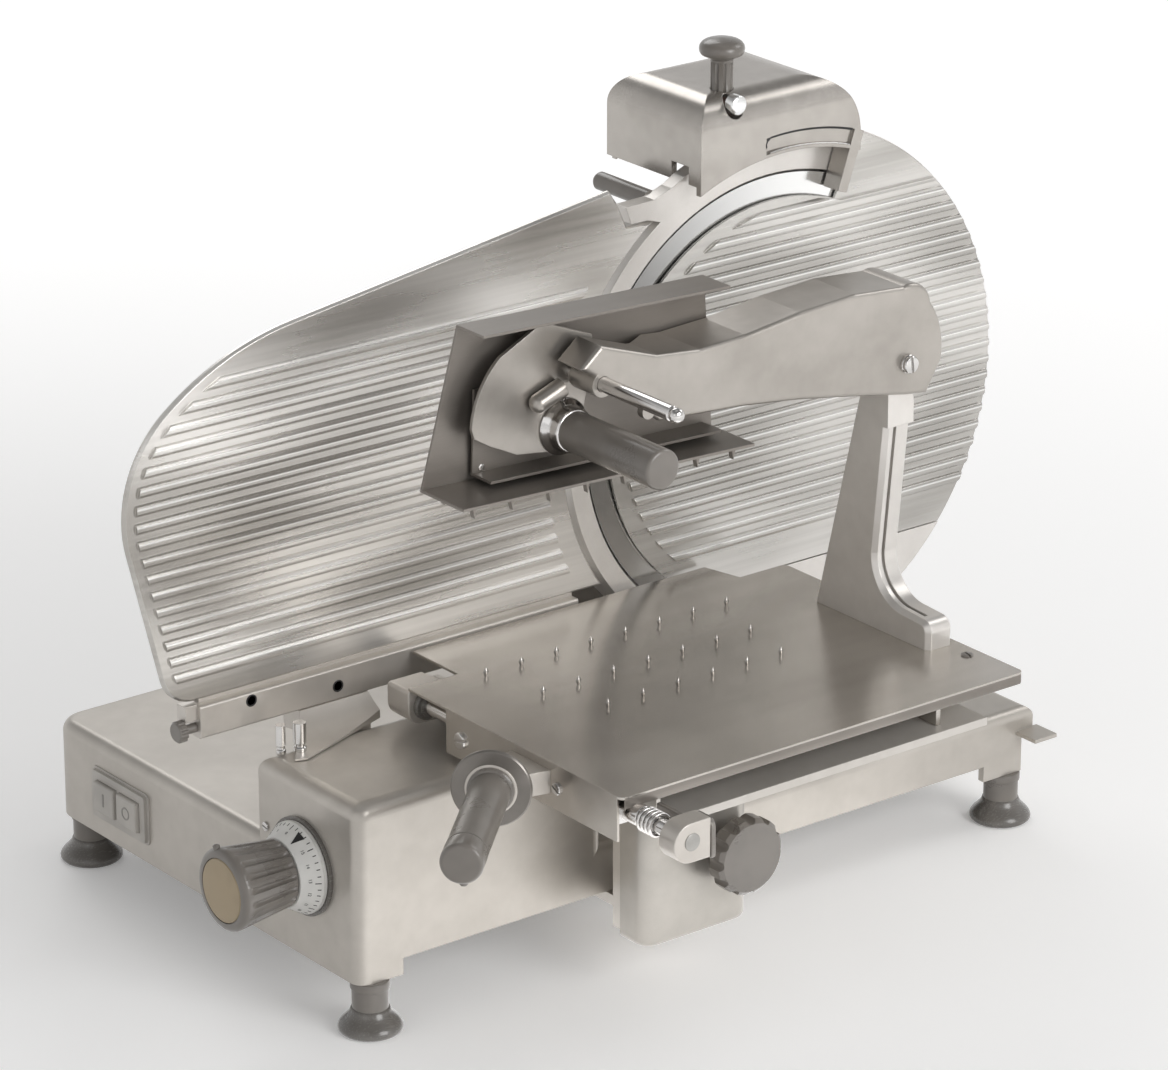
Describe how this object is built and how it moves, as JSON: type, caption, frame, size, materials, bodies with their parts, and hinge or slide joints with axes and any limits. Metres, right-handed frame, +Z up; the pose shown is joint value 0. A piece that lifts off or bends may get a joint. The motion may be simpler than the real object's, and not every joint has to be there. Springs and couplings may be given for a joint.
{
  "type": "meat slicer",
  "caption": "Vertical electric slicer with a round guarded blade, a ribbed gauge plate set by a dial, a sliding meat table with spikes and a swinging toothed food press.",
  "frame": {"origin": "under the middle of the whole machine, on the surface that the rubber feet stand on", "axes": "+X to the right along the carriage stroke, +Y back through the blade, +Z up"},
  "size_m": [0.7955, 0.652, 0.6195],
  "materials": {
    "cast_aluminium": "satin",
    "stainless_sheet": "brushed",
    "steel": "polished",
    "blade_steel": "mirror polished",
    "dark_plastic": "gloss",
    "grey_plastic": "matt",
    "white_plastic": "gloss",
    "cream_plastic": "matt",
    "black_rubber": "semi-gloss",
    "painted_motor": "satin",
    "stone": "rough"
  },
  "bodies": {
    "base": {"base_housing": "cast_aluminium", "bottom_cover": "stainless_sheet", "carriage_rail": "steel", "dial_backing": "dark_plastic", "switch_bezel": "grey_plastic", "gauge_guide_rods": "steel", "gauge_guide_holders": "cast_aluminium", "blade_guard": "cast_aluminium", "slice_deflector": "stainless_sheet", "drive_housing": "cast_aluminium", "motor": "painted_motor", "drive_belt": "black_rubber", "blade_cover": "cast_aluminium", "sharpener_housing": "cast_aluminium", "sharpener_pin": "dark_plastic", "power_inlet": "dark_plastic", "foot_stems": "dark_plastic", "rubber_foot_front_left": "black_rubber", "rubber_foot_front_right": "black_rubber", "rubber_foot_rear_left": "black_rubber", "rubber_foot_rear_right": "black_rubber"},
    "blade_rotor": {"blade": "blade_steel", "blade_shaft": "steel"},
    "motor_rotor": {"motor_pulley": "steel"},
    "dial": {"dial_ring": "white_plastic", "thickness_knob": "dark_plastic", "knob_cap": "cream_plastic", "dial_shaft": "steel", "thickness_cam": "steel"},
    "gauge": {"gauge_plate": "cast_aluminium", "gauge_bar": "cast_aluminium", "gauge_end_screw": "dark_plastic", "gauge_column": "cast_aluminium", "gauge_slide": "cast_aluminium"},
    "start_button": {"start_button": "grey_plastic"},
    "stop_button": {"stop_button": "grey_plastic"},
    "stone_spindle": {"sharpener_knob": "dark_plastic", "grinding_stone": "stone"},
    "sharpener_button": {"sharpener_button": "white_plastic"},
    "carriage": {"carriage_pod": "cast_aluminium", "carriage_arm": "cast_aluminium", "carriage_bed": "cast_aluminium", "table_rod": "steel", "rod_block_front": "cast_aluminium", "rod_block_rear": "cast_aluminium"},
    "clamp_knob": {"lobed_knob": "dark_plastic"},
    "table": {"meat_table": "stainless_sheet", "table_spikes": "steel", "table_sleeve": "steel", "rod_spring": "steel", "handle_bracket": "cast_aluminium", "handle_disc": "stainless_sheet", "handle_grip": "dark_plastic", "press_post": "cast_aluminium", "press_pivot_pin": "steel"},
    "press_arm": {"press_arm": "cast_aluminium"},
    "press_head": {"press_head": "stainless_sheet", "press_guard_plate": "cast_aluminium", "press_guide_rod": "steel", "press_grip": "dark_plastic"}
  },
  "joints": [
    {"name": "blade_spin", "type": "hinge", "parent": "base", "child": "blade_rotor", "pos_m": [0.1805, 0.058, 0.3326], "axis": [0, 1, 0], "continuous": true},
    {"name": "motor_spin", "type": "hinge", "parent": "base", "child": "motor_rotor", "pos_m": [0.1805, 0.177, 0.1946], "axis": [0, 1, 0], "continuous": true},
    {"name": "dial_turn", "type": "hinge", "parent": "base", "child": "dial", "pos_m": [-0.3075, -0.0185, 0.1107], "axis": [1, 0, 0], "range_deg": [0, 300]},
    {"name": "gauge_travel", "type": "slide", "parent": "base", "child": "gauge", "axis": [0, 1, 0], "range_m": [0, 0.016]},
    {"name": "start_press", "type": "slide", "parent": "base", "child": "start_button", "axis": [1, 0, 0], "range_m": [0, 0.0025], "stiffness_N_per_m": 400},
    {"name": "stop_press", "type": "slide", "parent": "base", "child": "stop_button", "axis": [1, 0, 0], "range_m": [0, 0.0025], "stiffness_N_per_m": 400},
    {"name": "stone_turn", "type": "hinge", "parent": "base", "child": "stone_spindle", "pos_m": [0.1355, 0.065, 0.581], "axis": [0, 0, 1], "range_deg": [0, 180]},
    {"name": "deburr_press", "type": "slide", "parent": "base", "child": "sharpener_button", "axis": [0, 1, 0], "range_m": [0, 0.005], "stiffness_N_per_m": 500},
    {"name": "carriage_travel", "type": "slide", "parent": "base", "child": "carriage", "axis": [1, 0, 0], "range_m": [-0.18, 0.316]},
    {"name": "clamp_turn", "type": "hinge", "parent": "carriage", "child": "clamp_knob", "pos_m": [-0.0385, -0.19, 0.103], "axis": [0, 1, 0], "range_deg": [-180, 180]},
    {"name": "table_slide", "type": "slide", "parent": "carriage", "child": "table", "axis": [0, 1, 0], "range_m": [-0.03, 0], "deforming": ["rod_spring"]},
    {"name": "press_swing", "type": "hinge", "parent": "table", "child": "press_arm", "pos_m": [0.1421, -0.085, 0.4224], "axis": [0, 1, 0], "range_deg": [-24, 45]},
    {"name": "press_feed", "type": "slide", "parent": "press_arm", "child": "press_head", "axis": [0, 1, 0], "range_m": [0, 0.084]}
  ],
  "couplings": [
    {"joint": "dial_turn", "follows": "gauge_travel", "rad_per_m": 327.25},
    {"joint": "motor_spin", "follows": "blade_spin", "ratio": 2.8889}
  ]
}
